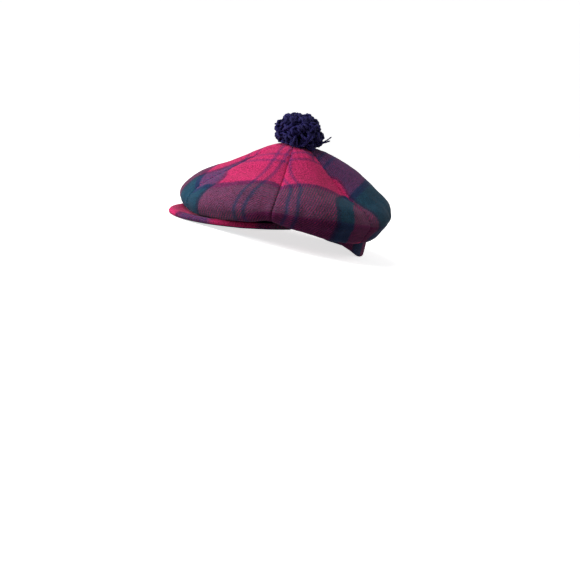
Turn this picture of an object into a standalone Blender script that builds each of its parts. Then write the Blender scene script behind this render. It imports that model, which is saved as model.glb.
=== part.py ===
"""A six-gore wool cap with a short peak and a yarn pompom, at its real size.

The cap lies as it does on a table: on the front of its peak and on the back of its band, at z = 0.
The origin is on the table under the middle of the whole cap, with the front at -Y and the
wearer's left at +X. An angle is measured around the head band's middle, in degrees from the
front towards the wearer's left. The tables below are in millimetres and degrees.
"""

import math

import bmesh
import bpy
import numpy as np

MM = 0.001

# Cloth and gaps
CLOTH = 2.4 * MM
GAP = 0.3 * MM

# Head band, for a head of about 57 cm. Its middle is behind the cap's, because the peak sticks out
BAND_MIDDLE = 22.5 * MM
BAND_HALF_WIDTH = 80 * MM
BAND_HALF_LENGTH = 100 * MM
BAND_HEIGHT = 19 * MM
BAND_THICKNESS = 3 * MM
BAND_COLUMNS = 60
SEWN_EASE = 0.6 * MM

# The band's lower edge is arched over the ears
BAND_EDGE = (
    # angle, height over the table
    (0, 2.0),
    (22, 4.0),
    (45, 12.0),
    (66, 20.0),
    (90, 22.5),
    (107, 18.0),
    (128, 8.5),
    (150, 0.0),
    (180, 0.0),
)

# Crown: one row for each section from the pompom down to the rim. middle is how far the section's
# middle is behind the band's, reach its distance from there, and height its height over the
# table, each at the front, the side and the back.
CROWN = (
    # name, middle, reach front, side, back, height front, side, back
    ("pompom hole", -20.0, 3.5, 3.5, 3.5, 115.2, 115.2, 115.6),
    ("top", -20.0, 17.0, 17.0, 20.0, 111.8, 113.4, 115.9),
    ("crest", -19.0, 34.0, 33.0, 39.0, 103.2, 107.0, 114.4),
    ("upper slope", -17.0, 58.0, 57.0, 65.0, 86.5, 90.3, 107.4),
    ("middle slope", -15.0, 82.0, 80.0, 90.0, 69.5, 76.8, 94.8),
    ("lower slope", -13.5, 105.0, 103.0, 110.0, 53.0, 66.8, 81.2),
    ("shoulder", -12.4, 120.0, 119.5, 121.0, 39.5, 57.8, 73.0),
    ("rim", -12.4, 128.5, 129.0, 125.0, 24.5, 43.5, 61.0),
    ("lower rim", -12.0, 127.0, 125.0, 119.0, 14.0, 33.0, 46.5),
)
BLEND_POWER = 3

# Lower fold: its middle, and its reach at the front, the side and the back. It lies on the peak,
# rides up over the peak's end and sags behind it
LOWER_FOLD = (-9.5, 120.0, 114.0, 112.5)
FOLD_EDGE = (
    # angle, height over the table
    (0, 8.6),
    (20, 12.0),
    (32, 15.5),
    (45, 20.5),
    (58, 27.0),
    (72, 24.5),
    (86, 23.5),
    (103, 21.0),
    (119, 22.0),
    (135, 26.5),
    (155, 31.5),
    (180, 33.5),
)

# Gores, with a valley along each seam and a dent over the peak's end
GORES = 6
SEAM_VALLEY = 2.4 * MM
SEAM_VALLEY_WIDTH = 10 * MM
GORE_PUFF = 3.2 * MM
SIDE_DIP_ANGLE = 118
SIDE_DIP = 4.0 * MM
SIDE_DIP_SPREAD = 24
DIP_SECTIONS = 6
ROWS_BETWEEN = 2
GORE_COLUMNS = (-1, -0.9, -0.74, -0.5, -0.18, 0.18, 0.5, 0.74, 0.9, 1)

# Peak, with a padded outer edge
PEAK_HALF_ANGLE = 67
PEAK_HALF_WIDTH = 79.5 * MM
PEAK_TIP = 157.5 * MM
PEAK_END_MIDDLE = 36 * MM
PEAK_TIP_DROP = 0.8 * MM
PEAK_EDGE_RISE = 20.0 * MM
PEAK_FLAT_ANGLE = 5
PEAK_RISE_POWER = 1.9
PEAK_COLUMNS = 28
PEAK_ARCH = 1.0 * MM
PEAK_PROFILE = (
    # share of the way out, height of the under face and of the top face
    (0.0, 0.0, 5.6),
    (0.33, 0.0, 5.6),
    (0.66, 0.0, 5.8),
    (0.86, 0.1, 7.6),
    (0.96, 0.9, 7.2),
    (1.0, 3.8, 3.8),
)

# Pompom
POMPOM_MIDDLE = (0.0, BAND_MIDDLE - 19 * MM, 129 * MM)
POMPOM_CORE = (23 * MM, 23 * MM, 18.5 * MM)
SEAT_ROWS = 7
SEAT_GAP = 0.6 * MM
LOCKS = 50
LOCK_REACH = 29 * MM
LOCK_FLATTEN = 0.76
LOCK_THICK = 3.6 * MM
LOCK_CURL = 6.5 * MM
LOWEST_LOCK = -0.62
GOLDEN_TURN = math.radians(137.5)

NAVY = (0.012, 0.012, 0.045, 1)
CRIMSON = (0.33, 0.035, 0.09, 1)
MAUVE = (0.12, 0.045, 0.075, 1)
TEAL = (0.03, 0.07, 0.10, 1)


def clear_scene():
    for old in list(bpy.data.objects):
        bpy.data.objects.remove(old, do_unlink=True)


def material(name, colour, roughness):
    made = bpy.data.materials.new(name)
    made.use_nodes = True
    shader = made.node_tree.nodes["Principled BSDF"]
    shader.inputs["Base Color"].default_value = colour
    shader.inputs["Roughness"].default_value = roughness
    shader.inputs["Metallic"].default_value = 0
    return made


def solid(name, points, faces, look):
    """One closed object from points and faces, with its faces pointing out."""
    mesh = bpy.data.meshes.new(name)
    mesh.from_pydata([tuple(point) for point in points], [], faces)
    shape = bmesh.new()
    shape.from_mesh(mesh)
    bmesh.ops.remove_doubles(shape, verts=shape.verts, dist=1e-6)
    bmesh.ops.recalc_face_normals(shape, faces=shape.faces)
    shape.to_mesh(mesh)
    shape.free()
    mesh.shade_smooth()
    mesh.set_sharp_from_angle(angle=math.radians(45))
    mesh.materials.append(look)
    made = bpy.data.objects.new(name, mesh)
    bpy.context.collection.objects.link(made)
    return made


def wall(name, outer, inner, look, ring=False):
    """A cloth wall between two grids of points, each rows x columns. A ring's columns close."""
    rows, columns = outer.shape[:2]
    points = np.concatenate((outer.reshape(-1, 3), inner.reshape(-1, 3)))
    back = rows * columns
    around = columns if ring else columns - 1
    faces = []

    def corner(row, column, side):
        return side * back + row * columns + column % columns

    for row in range(rows - 1):
        for column in range(around):
            for side in (0, 1):
                faces.append(
                    (
                        corner(row, column, side),
                        corner(row, column + 1, side),
                        corner(row + 1, column + 1, side),
                        corner(row + 1, column, side),
                    )
                )
    for column in range(around):
        for row in (0, rows - 1):
            faces.append(
                (
                    corner(row, column, 0),
                    corner(row, column + 1, 0),
                    corner(row, column + 1, 1),
                    corner(row, column, 1),
                )
            )
    if not ring:
        for row in range(rows - 1):
            for column in (0, columns - 1):
                faces.append(
                    (
                        corner(row, column, 0),
                        corner(row + 1, column, 0),
                        corner(row + 1, column, 1),
                        corner(row, column, 1),
                    )
                )
    return solid(name, points, faces, look)


def smooth_between(knots, values, at):
    """A smooth curve through values at rising knots, level at both ends and at every turn."""
    knots, values = np.asarray(knots, float), np.asarray(values, float)
    slopes = np.zeros_like(values)
    rises = np.diff(values)
    turning = rises[1:] * rises[:-1] <= 0
    slopes[1:-1] = np.where(turning, 0, (values[2:] - values[:-2]) / (knots[2:] - knots[:-2]))
    at = np.clip(at, knots[0], knots[-1])
    span = np.clip(np.searchsorted(knots, at) - 1, 0, len(knots) - 2)
    width = knots[span + 1] - knots[span]
    t = (at - knots[span]) / width
    return (
        values[span] * (1 + 2 * t) * (1 - t) ** 2
        + slopes[span] * width * t * (1 - t) ** 2
        + values[span + 1] * t * t * (3 - 2 * t)
        + slopes[span + 1] * width * t * t * (t - 1)
    )


def from_front(angle):
    """How far an angle is from the front, 0 to 180 degrees, to either side."""
    return abs((angle + 180) % 360 - 180)


def edge_height(edge, angle):
    """Height of an edge whose table goes from the front to the back, the same on both sides."""
    knots = [row[0] for row in edge]
    heights = [row[1] * MM for row in edge]
    return float(smooth_between(knots, heights, from_front(angle)))


def oval(angle, half_width, half_length):
    """Distance from the middle to an oval, at an angle from the front."""
    turn = math.radians(angle)
    across = math.sin(turn) / half_width
    along = math.cos(turn) / half_length
    return 1 / math.hypot(across, along)


def place(angle, middle, reach, height):
    """A point at an angle around a middle that is so far behind the band's."""
    turn = math.radians(angle)
    return np.array(
        (reach * math.sin(turn), BAND_MIDDLE + middle - reach * math.cos(turn), height)
    )


def by_side(angle, front, side, back):
    """Blends a value given at the front, the side and the back."""
    along = math.cos(math.radians(angle))
    end = front if along > 0 else back
    return side + (end - side) * abs(along) ** BLEND_POWER


def near(distance, width):
    """1 on a line and 0 away from it."""
    return math.exp(-((distance / width) ** 2))


def crown_sections(angle):
    """Middle, reach and height of every section at an angle, down to the sewn edge."""
    rows = []
    for _, middle, *sizes in CROWN:
        reach = by_side(angle, *sizes[:3])
        height = by_side(angle, *sizes[3:])
        rows.append((middle * MM, reach * MM, height * MM))
    fold_middle, *fold_reach = LOWER_FOLD
    fold_reach = by_side(angle, *fold_reach)
    rows.append((fold_middle * MM, fold_reach * MM, edge_height(FOLD_EDGE, angle)))
    sewn_reach = oval(angle, BAND_HALF_WIDTH, BAND_HALF_LENGTH) + SEWN_EASE
    rows.append((0.0, sewn_reach, edge_height(BAND_EDGE, angle) + BAND_HEIGHT + GAP))
    return np.array(rows)


def section_steps():
    """Where the crown's rows of points lie, counted in sections."""
    last = len(CROWN) + 1
    return np.linspace(0, last, last * ROWS_BETWEEN + 1)


def line_through(values, at):
    """A Catmull-Rom curve through rows of values, at steps counted in rows."""
    padded = np.concatenate(([2 * values[0] - values[1]], values, [2 * values[-1] - values[-2]]))
    span = np.clip(np.floor(at).astype(int), 0, len(values) - 2)
    t = (at - span)[:, None]
    before, start, end, after = (padded[span + i] for i in range(4))
    return 0.5 * (
        2 * start
        + (end - before) * t
        + (2 * before - 5 * start + 4 * end - after) * t * t
        + (3 * start - before - 3 * end + after) * t**3
    )


def crown_line(angle):
    """The crown's outer line at one angle: middle, reach and height, and its outward normal."""
    line = line_through(crown_sections(angle), section_steps())
    along = np.gradient(line[:, 1:], axis=0)
    along /= np.linalg.norm(along, axis=1)[:, None]
    normal = np.stack((-along[:, 1], along[:, 0]), axis=1)
    steps = section_steps()
    fullness = np.sin(np.pi * np.clip((steps - 1) / len(CROWN), 0, 1))
    pitch = 360 / GORES
    to_seam = abs((angle + pitch / 2) % pitch - pitch / 2)
    dip = SIDE_DIP * near(from_front(angle) - SIDE_DIP_ANGLE, SIDE_DIP_SPREAD)
    upper = np.sin(np.pi * np.clip((steps - 1) / DIP_SECTIONS, 0, 1))
    push = np.zeros(len(steps))
    for i, reach in enumerate(line[:, 1]):
        valley = SEAM_VALLEY * near(math.radians(to_seam) * reach, SEAM_VALLEY_WIDTH)
        puff = GORE_PUFF * math.sin(math.pi * to_seam / pitch)
        push[i] = fullness[i] * (puff - valley - dip * upper[i])
    line[:, 1:] += normal * push[:, None]
    return line, normal


def gore_grid(first_seam, depth):
    """Points of one gore, rows from the pompom down and columns from seam to seam."""
    pitch = 360 / GORES
    columns = []
    for share in GORE_COLUMNS:
        angle = first_seam + pitch * (share + 1) / 2
        line, normal = crown_line(angle)
        turn = math.radians(angle)
        sideways = np.array((math.cos(turn), math.sin(turn), 0)) * GAP / 2
        shift = -share if abs(share) == 1 else 0
        inset = line[:, 1:] - normal * depth
        columns.append(
            [
                place(angle, middle, reach, height) + sideways * shift
                for middle, (reach, height) in zip(line[:, 0], inset)
            ]
        )
    return np.array(columns).transpose(1, 0, 2)


def build_crown():
    """Six gores, from the front seam round by the wearer's left."""
    names = ("front_left", "left", "back_left", "back_right", "right", "front_right")
    look = material("tartan gore", MAUVE, 0.9)
    for index, name in enumerate(names):
        first_seam = index * 360 / GORES
        outer = gore_grid(first_seam, 0)
        inner = gore_grid(first_seam, CLOTH)
        wall(f"gore_{name}", outer, inner, look)


def build_band():
    """The upright head band, with its lower edge arched over the sides."""
    sides = []
    for depth in (0, BAND_THICKNESS):
        rows = []
        for rise in (0, 0.5, 1):
            row = []
            for column in range(BAND_COLUMNS):
                angle = column * 360 / BAND_COLUMNS
                reach = oval(angle, BAND_HALF_WIDTH - depth, BAND_HALF_LENGTH - depth)
                height = edge_height(BAND_EDGE, angle) + rise * BAND_HEIGHT
                row.append(place(angle, 0, reach, height))
            rows.append(row)
        sides.append(np.array(rows))
    wall("band", *sides, material("tartan band", TEAL, 0.9), ring=True)


def peak_point(along, across, height):
    """A point of the peak: along -1 to 1 from end to end, across 0 at the band to 1 at the edge."""
    root_angle = along * PEAK_HALF_ANGLE
    root_reach = oval(root_angle, BAND_HALF_WIDTH + GAP, BAND_HALF_LENGTH + GAP)
    root = place(root_angle, 0, root_reach, edge_height(BAND_EDGE, root_angle))
    sweep = abs(along) * 90
    rise = max(0, (sweep - PEAK_FLAT_ANGLE) / (90 - PEAK_FLAT_ANGLE))
    turn = math.radians(along * 90)
    edge = np.array(
        (
            PEAK_HALF_WIDTH * math.sin(turn),
            BAND_MIDDLE - PEAK_END_MIDDLE - (PEAK_TIP - PEAK_END_MIDDLE) * math.cos(turn),
            PEAK_EDGE_RISE * rise**PEAK_RISE_POWER - PEAK_TIP_DROP,
        )
    )
    point = root + (edge - root) * across
    arch = PEAK_ARCH * math.sin(math.pi * across) * math.cos(math.radians(along * 90))
    point[2] += arch + height * MM
    return point


def build_peak():
    """The stiffened peak, from its under face round its padded edge to its top face."""
    alongs = np.linspace(-1, 1, PEAK_COLUMNS + 1)
    top = [[peak_point(along, out, high) for along in alongs] for out, _, high in PEAK_PROFILE]
    under = [[peak_point(along, out, low) for along in alongs] for out, low, _ in PEAK_PROFILE]
    wall("peak", np.array(top), np.array(under), material("tartan peak", CRIMSON, 0.9))


def lock_mesh(direction, index):
    """One bent lock of yarn, from inside the core out to its curled end."""
    outward = np.array(direction)
    sideways = np.cross(outward, (0.3, 0.2, 1.0))
    sideways /= np.linalg.norm(sideways)
    other = np.cross(outward, sideways)
    spin = index * 2.1
    bend = sideways * math.cos(spin) + other * math.sin(spin)
    squash = np.array((1, 1, LOCK_FLATTEN))
    steps = ((0.45, 0.0, 1.0), (0.72, 0.05, 1.0), (0.9, 0.45, 0.95), (1.0, 1.0, 0.6))
    sides = 6
    points, faces = [], []
    for share, curl, thick in steps:
        middle = outward * LOCK_REACH * share * squash + bend * LOCK_CURL * curl
        for side in range(sides):
            turn = 2 * math.pi * side / sides
            around = sideways * math.cos(turn) + other * math.sin(turn)
            points.append(middle + around * LOCK_THICK * thick)
    for step in range(len(steps) - 1):
        for side in range(sides):
            a = step * sides + side
            b = step * sides + (side + 1) % sides
            faces.append((a, b, b + sides, a + sides))
    last = (len(steps) - 1) * sides
    faces.append(tuple(range(sides)))
    faces.append(tuple(range(last, last + sides)))
    return np.array(points) + POMPOM_MIDDLE, faces


def build_pompom():
    """A ball of yarn: locks fused to a core, cut flat where it sits on the crown."""
    look = material("navy yarn", NAVY, 0.95)
    core_shape = bmesh.new()
    bmesh.ops.create_icosphere(core_shape, subdivisions=3, radius=1)
    core = bpy.data.meshes.new("pompom")
    core_shape.to_mesh(core)
    core_shape.free()
    for vertex in core.vertices:
        vertex.co = np.array(vertex.co) * POMPOM_CORE + POMPOM_MIDDLE
    core.shade_smooth()
    core.materials.append(look)
    pompom = bpy.data.objects.new("pompom", core)
    bpy.context.collection.objects.link(pompom)
    locks = bpy.data.collections.new("pompom locks")
    bpy.context.scene.collection.children.link(locks)
    for index in range(LOCKS):
        up = 1 - (1 - LOWEST_LOCK) * (index + 0.5) / LOCKS
        turn = index * GOLDEN_TURN
        flat = math.sqrt(1 - up * up)
        points, faces = lock_mesh((flat * math.cos(turn), flat * math.sin(turn), up), index)
        lock = solid(f"lock_{index}", points, faces, look)
        bpy.context.collection.objects.unlink(lock)
        locks.objects.link(lock)
        lock.hide_render = True
        lock.display_type = "WIRE"
    union = pompom.modifiers.new("locks", "BOOLEAN")
    union.operation = "UNION"
    union.operand_type = "COLLECTION"
    union.collection = locks
    union.solver = "EXACT"
    flat_cut = pompom.modifiers.new("seat", "BOOLEAN")
    flat_cut.operation = "DIFFERENCE"
    flat_cut.object = pompom_seat(look)
    flat_cut.solver = "EXACT"


def pompom_seat(look):
    """A cutter with the crown's own top, a gap above it, closed below."""
    columns = []
    for first_seam in range(0, 360, 360 // GORES):
        for share in GORE_COLUMNS[:-1]:
            angle = first_seam + 180 / GORES * (share + 1)
            line, normal = crown_line(angle)
            raised = line[:SEAT_ROWS, 1:] + normal[:SEAT_ROWS] * SEAT_GAP
            column = [
                place(angle, middle, reach, height)
                for middle, (reach, height) in zip(line[:, 0], raised)
            ]
            axis = (0, BAND_MIDDLE + line[0, 0])
            top = np.array((*axis, column[0][2]))
            low = np.array((*column[-1][:2], line[0, 2] - 2 * POMPOM_CORE[2]))
            under = np.array((*axis, low[2]))
            columns.append([top, *column, low, under])
    grid = np.array(columns).transpose(1, 0, 2)
    rows, around = grid.shape[:2]
    faces = [
        (
            row * around + column,
            row * around + (column + 1) % around,
            (row + 1) * around + (column + 1) % around,
            (row + 1) * around + column,
        )
        for row in range(rows - 1)
        for column in range(around)
    ]
    seat = solid("pompom_seat", grid.reshape(-1, 3), faces, look)
    seat.hide_render = True
    seat.display_type = "WIRE"
    return seat


clear_scene()
build_crown()
build_band()
build_peak()
build_pompom()
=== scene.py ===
# %% [markdown]
# # A tartan wool cap with a peak and a pompom
#
# The real cap is sewn from six wedge-shaped panels, called gores, of a heavy wool twill. They
# meet under a pompom of curly navy yarn, puff out into a full crown, and turn back under to a
# head band. A short padded peak sticks out in front. The solids of the cap are loaded first, and
# every piece below takes the place of one of them, at the same size and in the same place.

import math

import bmesh
import bpy
import numpy as np
from mathutils import Matrix, Vector, noise


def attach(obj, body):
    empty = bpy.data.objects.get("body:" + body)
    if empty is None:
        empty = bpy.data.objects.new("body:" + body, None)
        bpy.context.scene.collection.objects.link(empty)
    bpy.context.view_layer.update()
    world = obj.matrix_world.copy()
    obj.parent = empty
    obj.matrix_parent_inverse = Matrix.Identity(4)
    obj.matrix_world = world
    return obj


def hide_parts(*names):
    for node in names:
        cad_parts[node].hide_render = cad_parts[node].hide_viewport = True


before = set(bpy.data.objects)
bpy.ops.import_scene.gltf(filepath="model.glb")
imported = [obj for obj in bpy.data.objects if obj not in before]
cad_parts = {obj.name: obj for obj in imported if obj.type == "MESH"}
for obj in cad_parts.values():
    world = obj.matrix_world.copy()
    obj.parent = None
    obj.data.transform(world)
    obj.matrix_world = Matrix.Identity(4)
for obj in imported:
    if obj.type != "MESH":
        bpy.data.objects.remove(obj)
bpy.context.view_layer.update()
MM = 0.001
print("solids:", ", ".join(sorted(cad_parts)))

# %% [markdown]
# ## Camera
#
# The photograph looks at the cap from its front left and a little above, with the cap tipped
# forward. Here the cap lies on the floor by itself, so the camera rolls instead. A constraint
# could aim the camera, but it would put its target in the middle of the picture. So the turn is
# worked out here: the middle of the head band, on the floor, lands on one pixel of the picture.

# %% Camera
BAND_MIDDLE = 22.5 * MM
PICTURE = 580
SENSOR_WIDTH = 36
VIEW_ANGLE = math.radians(66)
VIEW_HEIGHT = math.radians(6.5)
VIEW_ROLL = math.radians(14.1)
VIEW_DISTANCE = 1.5
MM_TO_A_PIXEL = 1.25
BAND_PIXEL = (287.97, 237.74)


def direction(angle, height):
    """The way to a place around the cap. The angle is from the front towards the wearer's left."""
    level = math.cos(height)
    return Vector((math.sin(angle) * level, -math.cos(angle) * level, math.sin(height)))


def add_object(name, data):
    """Adds an object that holds a camera, a lamp or a mesh."""
    made = bpy.data.objects.new(name, data)
    bpy.context.collection.objects.link(made)
    return made


def make_camera():
    away = direction(VIEW_ANGLE, VIEW_HEIGHT)
    focal = VIEW_DISTANCE / (MM_TO_A_PIXEL * MM)
    data = bpy.data.cameras.new("camera")
    data.sensor_width = SENSOR_WIDTH
    data.lens = SENSOR_WIDTH * focal / PICTURE
    made = add_object("camera", data)
    facing = (-away).to_track_quat("-Z", "Y").to_matrix()
    rolled = facing @ Matrix.Rotation(VIEW_ROLL, 3, "Z")
    right, below = BAND_PIXEL[0] - PICTURE / 2, BAND_PIXEL[1] - PICTURE / 2
    wanted = Vector((right, -below, -focal)).normalized()
    swing = wanted.rotation_difference(Vector((0, 0, -1))).to_matrix()
    eye = Vector((0, BAND_MIDDLE, 0)) + away * VIEW_DISTANCE
    made.matrix_world = Matrix.Translation(eye) @ (rolled @ swing).to_4x4()
    bpy.context.scene.camera = made
    return made


camera = make_camera()
print("camera at", [round(value, 3) for value in camera.location], "lens", round(camera.data.lens, 1))

# %% [markdown]
# ## Floor
#
# A plain, nearly white sheet curves up into a backdrop far behind, so that no edge shows. It
# could be lit until it is white, but then it would throw so much light back up that the cloth's
# deep colours look washed out. So it glows a little by itself, and the rays that gather soft
# light for the cloth pass through it, which has the effect of a dark card laid beside the cap.

# %% Floor
FLOOR_WHITE = 0.95
FLOOR_GLOW = 0.7
FLOOR_ROUGHNESS = 0.9
FLOOR_SIDES = 96
FLOOR_RINGS = (
    # reach and height in metres
    (0.5, 0),
    (1.5, 0),
    (3.0, 0),
    (3.6, 0.12),
    (4.1, 0.5),
    (4.4, 1.1),
    (4.5, 3.2),
)


def floor_look():
    look = bpy.data.materials.new("pale floor")
    look.use_nodes = True
    sockets = look.node_tree.nodes["Principled BSDF"].inputs
    sockets["Base Color"].default_value = (FLOOR_WHITE, FLOOR_WHITE, FLOOR_WHITE, 1)
    sockets["Roughness"].default_value = FLOOR_ROUGHNESS
    sockets["Emission Color"].default_value = (1, 1, 1, 1)
    sockets["Emission Strength"].default_value = FLOOR_GLOW
    return look


def plain_floor():
    """A wide round sheet that stays flat under the cap and curves up far away."""
    shape = bmesh.new()
    rows = []
    for reach, height in FLOOR_RINGS:
        row = []
        for side in range(FLOOR_SIDES):
            turn = 2 * math.pi * side / FLOOR_SIDES
            row.append(shape.verts.new((reach * math.cos(turn), reach * math.sin(turn), height)))
        rows.append(row)
    shape.faces.new(rows[0])
    for lower, upper in zip(rows, rows[1:]):
        for side in range(FLOOR_SIDES):
            after = (side + 1) % FLOOR_SIDES
            shape.faces.new((lower[side], lower[after], upper[after], upper[side]))
    bmesh.ops.recalc_face_normals(shape, faces=shape.faces)
    mesh = bpy.data.meshes.new("floor")
    shape.to_mesh(mesh)
    shape.free()
    mesh.shade_smooth()
    mesh.materials.append(floor_look())
    made = add_object("floor", mesh)
    made.visible_diffuse = False
    return made


floor = plain_floor()
print("floor faces:", len(floor.data.polygons))

# %% [markdown]
# ## Light
#
# Three large soft lamps and a pale sky stand in for a white studio. A high lamp and a low one
# stand in front, because the cap is bright there and darker at its side, and a weak one stands
# behind. A picture of a studio could light the cap instead, but lamps are easy to move one by one.
# The Standard view keeps the colours as strong as they are. Blender's own choice mutes them.

# %% Lamps and sky
SKY_LIGHT = 0.18
LAMP_AIM = Vector((0, 0, 0.05))
LAMPS = (
    # name, angle from the front, height in degrees, distance and width in metres, watts
    ("main lamp", 4, 58, 2.2, 1.1, 28),
    ("front lamp", -6, 9, 2.2, 1.1, 50),
    ("back lamp", 178, 45, 2.4, 1.4, 8),
)


def soft_lamp(name, angle, height, distance, width, watts):
    """A round lamp that faces the cap."""
    away = direction(math.radians(angle), math.radians(height))
    data = bpy.data.lights.new(name, "AREA")
    data.shape = "DISK"
    data.size = width
    data.energy = watts
    lamp = add_object(name, data)
    lamp.location = LAMP_AIM + away * distance
    lamp.rotation_mode = "QUATERNION"
    lamp.rotation_quaternion = (-away).to_track_quat("-Z", "Y")


def pale_sky():
    sky = bpy.data.worlds.new("pale sky")
    sky.use_nodes = True
    sockets = sky.node_tree.nodes["Background"].inputs
    sockets["Color"].default_value = (1, 1, 1, 1)
    sockets["Strength"].default_value = SKY_LIGHT
    bpy.context.scene.world = sky


for lamp_row in LAMPS:
    soft_lamp(*lamp_row)
pale_sky()
bpy.context.scene.view_settings.view_transform = "Standard"
print("lamps:", ", ".join(row[0] for row in LAMPS))

# %% [markdown]
# ## Curves for sewn shapes
#
# Cloth has no straight lines once it is sewn. Blender's curve objects could draw its outlines,
# but their handles say little to a reader. Here every size that changes around the cap or down
# the cap is a short table, and a smooth curve runs through it. These helpers draw the curves.


# %% Curve helpers
def smooth_between(knots, values, at):
    """A smooth curve through values at rising knots, level at both ends and at every turn."""
    knots, values = np.asarray(knots, float), np.asarray(values, float)
    slopes = np.zeros_like(values)
    rises = np.diff(values)
    turning = rises[1:] * rises[:-1] <= 0
    slopes[1:-1] = np.where(turning, 0, (values[2:] - values[:-2]) / (knots[2:] - knots[:-2]))
    at = np.clip(at, knots[0], knots[-1])
    span = np.clip(np.searchsorted(knots, at) - 1, 0, len(knots) - 2)
    width = knots[span + 1] - knots[span]
    t = (at - knots[span]) / width
    return (
        values[span] * (1 + 2 * t) * (1 - t) ** 2
        + slopes[span] * width * t * (1 - t) ** 2
        + values[span + 1] * t * t * (3 - 2 * t)
        + slopes[span + 1] * width * t * t * (t - 1)
    )


def line_through(values, at):
    """A Catmull-Rom curve through rows of values, at steps counted in rows."""
    padded = np.concatenate(([2 * values[0] - values[1]], values, [2 * values[-1] - values[-2]]))
    span = np.clip(np.floor(at).astype(int), 0, len(values) - 2)
    t = (at - span)[:, None]
    before, start, end, after = (padded[span + i] for i in range(4))
    return 0.5 * (
        2 * start
        + (end - before) * t
        + (2 * before - 5 * start + 4 * end - after) * t * t
        + (3 * start - before - 3 * end + after) * t**3
    )


def length_along(points):
    """How far along a line of points each of them lies."""
    steps = np.linalg.norm(np.diff(points, axis=0), axis=1)
    return np.concatenate(([0], np.cumsum(steps)))


def near(distance, width):
    """1 on a line and 0 away from it."""
    return np.exp(-((distance / width) ** 2))


print("a fold 10 mm wide is", round(float(near(5, 10)), 2), "as deep 5 mm from its middle")


# %% Places around the cap
def from_front(angle):
    """How far an angle is from the front, 0 to 180 degrees, to either side."""
    return abs((angle + 180) % 360 - 180)


def edge_height(edge, angle):
    """The height of an edge, from its table of angles and heights in mm."""
    knots, heights = zip(*edge)
    return float(smooth_between(knots, np.array(heights) * MM, from_front(angle)))


def oval(angle, half_width, half_length):
    """Distance from the middle to an oval, at an angle from the front."""
    turn = math.radians(angle)
    return 1 / math.hypot(math.sin(turn) / half_width, math.cos(turn) / half_length)


def place(angle, middle, reach, height):
    """A point at an angle around a middle that is so far behind the band's."""
    turn = math.radians(angle)
    return np.array((reach * math.sin(turn), BAND_MIDDLE + middle - reach * math.cos(turn), height))


print("an oval of 80 x 100 mm reaches", round(oval(45, 80, 100), 1), "mm at 45 degrees")

# %% [markdown]
# ## Sizes of the cap
#
# The crown is a stack of sections, from the pompom over the slope and the rim to the fold under
# it. Each row says where the section's middle is, how far it reaches and how high it lies, at the
# front, the side and the back. The sizes could be measured on the solids, but a named number says
# what it is for. They are the solids' own, in millimetres and degrees. Only the valleys along the
# seams and the puff between them are a little less, because the rolled seams and the dents of a
# later step add to them.

# %% Band sizes
GAP = 0.3 * MM
CLOTH = 2.4 * MM
BAND_HALF_WIDTH = 80 * MM
BAND_HALF_LENGTH = 100 * MM
BAND_HEIGHT = 19 * MM
BAND_THICKNESS = 3 * MM
SEWN_EASE = 0.6 * MM
BAND_EDGE = (
    # angle, height over the floor
    (0, 2.0),
    (22, 4.0),
    (45, 12.0),
    (66, 20.0),
    (90, 22.5),
    (107, 18.0),
    (128, 8.5),
    (150, 0.0),
    (180, 0.0),
)
print("the band's edge is arched", round(edge_height(BAND_EDGE, 90) / MM, 1), "mm at the side")

# %% Crown sizes
CROWN = (
    # name, middle, reach front, side, back, height front, side, back
    ("pompom hole", -20.0, 3.5, 3.5, 3.5, 115.2, 115.2, 115.6),
    ("top", -20.0, 17.0, 17.0, 20.0, 111.8, 113.4, 115.9),
    ("crest", -19.0, 34.0, 33.0, 39.0, 103.2, 107.0, 114.4),
    ("upper slope", -17.0, 58.0, 57.0, 65.0, 86.5, 90.3, 107.4),
    ("middle slope", -15.0, 82.0, 80.0, 90.0, 69.5, 76.8, 94.8),
    ("lower slope", -13.5, 105.0, 103.0, 110.0, 53.0, 66.8, 81.2),
    ("shoulder", -12.4, 120.0, 119.5, 121.0, 39.5, 57.8, 73.0),
    ("rim", -12.4, 128.5, 129.0, 125.0, 24.5, 43.5, 61.0),
    ("lower rim", -12.0, 127.0, 125.0, 119.0, 14.0, 33.0, 46.5),
)
BLEND_POWER = 3
# middle, reach front, side, back
LOWER_FOLD = (-9.5, 120.0, 114.0, 112.5)
FOLD_EDGE = (
    # angle, height over the floor
    (0, 8.6),
    (20, 12.0),
    (32, 15.5),
    (45, 20.5),
    (58, 27.0),
    (72, 24.5),
    (86, 23.5),
    (103, 21.0),
    (119, 22.0),
    (135, 26.5),
    (155, 31.5),
    (180, 33.5),
)
GORES = 6
PITCH = 360 / GORES
SEAM_VALLEY = 1.5 * MM
SEAM_VALLEY_WIDTH = 10 * MM
GORE_PUFF = 2.8 * MM
SIDE_DIP_ANGLE = 118
SIDE_DIP = 4.0 * MM
SIDE_DIP_SPREAD = 24
DIP_SECTIONS = 6
print("crown sections:", ", ".join(row[0] for row in CROWN))

# %% [markdown]
# ## The crown's line
#
# The outline of the crown differs at the front, the side and the back, so it can't be turned like
# a bowl. One function gives its outer line at any angle, from the pompom down to the sewn edge
# inside. It blends the table's front, side and back sizes, lets each gore puff out between its
# seams, and pulls the cloth into a valley along each seam. The same line, read more finely than
# in the solids, carries the folds of the next step.


# %% Crown sections
def by_side(angle, front, side, back):
    """A size at an angle, from those at the front, the side and the back."""
    along = math.cos(math.radians(angle))
    end = front if along > 0 else back
    return side + (end - side) * abs(along) ** BLEND_POWER


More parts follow.
